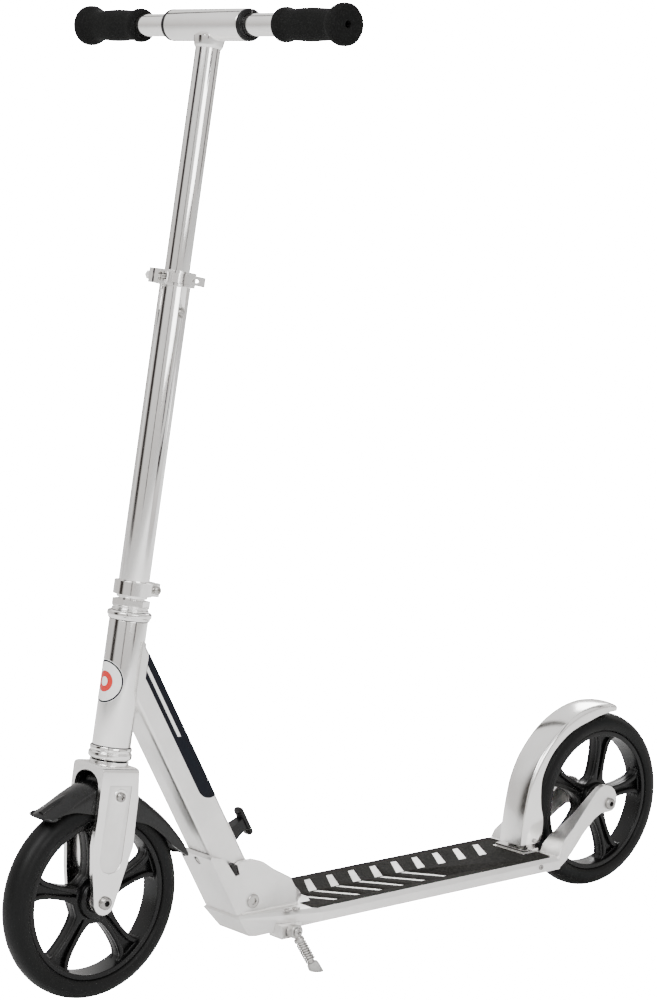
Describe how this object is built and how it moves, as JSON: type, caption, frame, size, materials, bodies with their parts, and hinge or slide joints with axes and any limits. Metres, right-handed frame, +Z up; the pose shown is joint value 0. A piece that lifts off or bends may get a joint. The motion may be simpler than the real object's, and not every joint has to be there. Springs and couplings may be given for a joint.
{
  "type": "kick scooter",
  "caption": "Folding kick scooter with large spoked wheels, telescoping T-handlebar with foam grips, grip-taped deck, sprung rear fender brake and side kickstand.",
  "frame": {"origin": "on the ground, midway between the wheels, on the centre plane", "axes": "+X the direction of travel, +Y the rider's left, +Z up"},
  "size_m": [0.904, 0.4036, 0.9675],
  "materials": {
    "satin_aluminium": "satin, fine blasted grain",
    "polished_aluminium": "mirror polished",
    "brushed_fender": "polished with faint lengthwise brushing",
    "bright_steel": "zinc plated",
    "black_plastic": "moulded, semi-matte",
    "tyre": "smooth cast polyurethane, slightly dull",
    "black_foam": "matte closed-cell foam",
    "grip_sheet": "coarse grit, charcoal",
    "foot_rubber": "matte grey rubber"
  },
  "bodies": {
    "deck_assembly": {"deck": "satin_aluminium", "grip_tape": "grip_sheet", "fold_bracket": "satin_aluminium", "pivot_bolt": "bright_steel", "pivot_nut": "bright_steel", "rear_arm_left": "satin_aluminium", "rear_arm_right": "satin_aluminium", "rear_axle": "bright_steel", "rear_axle_nut": "bright_steel", "fender_bracket": "brushed_fender", "fender_pin": "bright_steel", "fender_spring": "bright_steel", "kickstand_bracket": "satin_aluminium", "kickstand_pivot": "bright_steel"},
    "rear_wheel": {"rear_tyre": "tyre", "rear_rim": "black_plastic", "rear_bearing_left": "bright_steel", "rear_bearing_right": "bright_steel", "rear_bearing_spacer": "bright_steel"},
    "fender": {"rear_fender": "brushed_fender"},
    "kickstand": {"kickstand_leg": "bright_steel", "kickstand_spring": "bright_steel", "kickstand_foot": "foot_rubber"},
    "front_frame": {"downtube": "satin_aluminium", "head_tube": "satin_aluminium", "lower_cup": "polished_aluminium", "upper_cup": "polished_aluminium", "lower_bearing": "bright_steel", "upper_bearing": "bright_steel", "lock_spring": "bright_steel"},
    "lock_knob": {"release_knob": "black_plastic", "lock_pin": "bright_steel"},
    "steering_column": {"fork": "polished_aluminium", "front_mudguard": "black_plastic", "mudguard_bolt_left": "bright_steel", "mudguard_bolt_right": "bright_steel", "front_axle": "bright_steel", "front_axle_nut": "bright_steel", "adjusting_nut": "polished_aluminium", "lock_nut": "polished_aluminium", "clamp_collar": "polished_aluminium", "clamp_screw": "bright_steel", "lower_tube": "polished_aluminium", "quick_release_clamp": "polished_aluminium", "quick_release_skewer": "bright_steel", "quick_release_nut": "polished_aluminium"},
    "front_wheel": {"front_tyre": "tyre", "front_rim": "black_plastic", "front_bearing_left": "bright_steel", "front_bearing_right": "bright_steel", "front_bearing_spacer": "bright_steel"},
    "clamp_lever": {"quick_release_lever": "polished_aluminium"},
    "button": {"height_button": "bright_steel"},
    "handlebar": {"handle_stem": "polished_aluminium", "left_sleeve_ring": "black_plastic", "right_sleeve_ring": "black_plastic"},
    "left_handle": {"left_handlebar": "polished_aluminium", "left_grip": "black_foam"},
    "right_handle": {"right_handlebar": "polished_aluminium", "right_grip": "black_foam"}
  },
  "joints": [
    {"name": "fold", "type": "hinge", "parent": "deck_assembly", "child": "front_frame", "pos_m": [0.1665, 0, 0.0715], "axis": [0, -1, 0], "range_deg": [0, 81.5]},
    {"name": "steer", "type": "hinge", "parent": "front_frame", "child": "steering_column", "pos_m": [0.352, 0, 0.1], "axis": [-0.1469, 0, 0.9891], "continuous": true},
    {"name": "front_wheel_spin", "type": "hinge", "parent": "steering_column", "child": "front_wheel", "pos_m": [0.352, 0, 0.1], "axis": [0, 1, 0], "continuous": true},
    {"name": "rear_wheel_spin", "type": "hinge", "parent": "deck_assembly", "child": "rear_wheel", "pos_m": [-0.352, 0, 0.1], "axis": [0, 1, 0], "continuous": true},
    {"name": "fender_brake", "type": "hinge", "parent": "deck_assembly", "child": "fender", "pos_m": [-0.2455, 0, 0.07], "axis": [0, -1, 0], "range_deg": [0, 4.5], "stiffness_Nm_per_rad": 0.6, "springref_deg": -20.05},
    {"name": "kickstand_fold", "type": "hinge", "parent": "deck_assembly", "child": "kickstand", "pos_m": [0.1335, 0.054, 0.041], "axis": [0, 1, 0], "range_deg": [0, 68]},
    {"name": "lock_pull", "type": "slide", "parent": "front_frame", "child": "lock_knob", "axis": [-0.8696, 0, 0.4937], "range_m": [0, 0.006], "stiffness_N_per_m": 800, "springref_m": -0.003, "deforming": ["lock_spring"]},
    {"name": "height_slide", "type": "slide", "parent": "steering_column", "child": "handlebar", "axis": [-0.1469, 0, 0.9891], "range_m": [-0.19, 0]},
    {"name": "left_pull", "type": "slide", "parent": "handlebar", "child": "left_handle", "axis": [0, 1, 0], "range_m": [0, 0.03]},
    {"name": "right_pull", "type": "slide", "parent": "handlebar", "child": "right_handle", "axis": [0, -1, 0], "range_m": [0, 0.03]},
    {"name": "lever_open", "type": "hinge", "parent": "steering_column", "child": "clamp_lever", "pos_m": [0.2846, 0.014, 0.70683], "axis": [-0.1469, 0, 0.9891], "range_deg": [-110, 0]},
    {"name": "button_press", "type": "slide", "parent": "steering_column", "child": "button", "axis": [0, -1, 0], "range_m": [0, 0.0012], "stiffness_N_per_m": 800, "springref_m": -0.001}
  ]
}
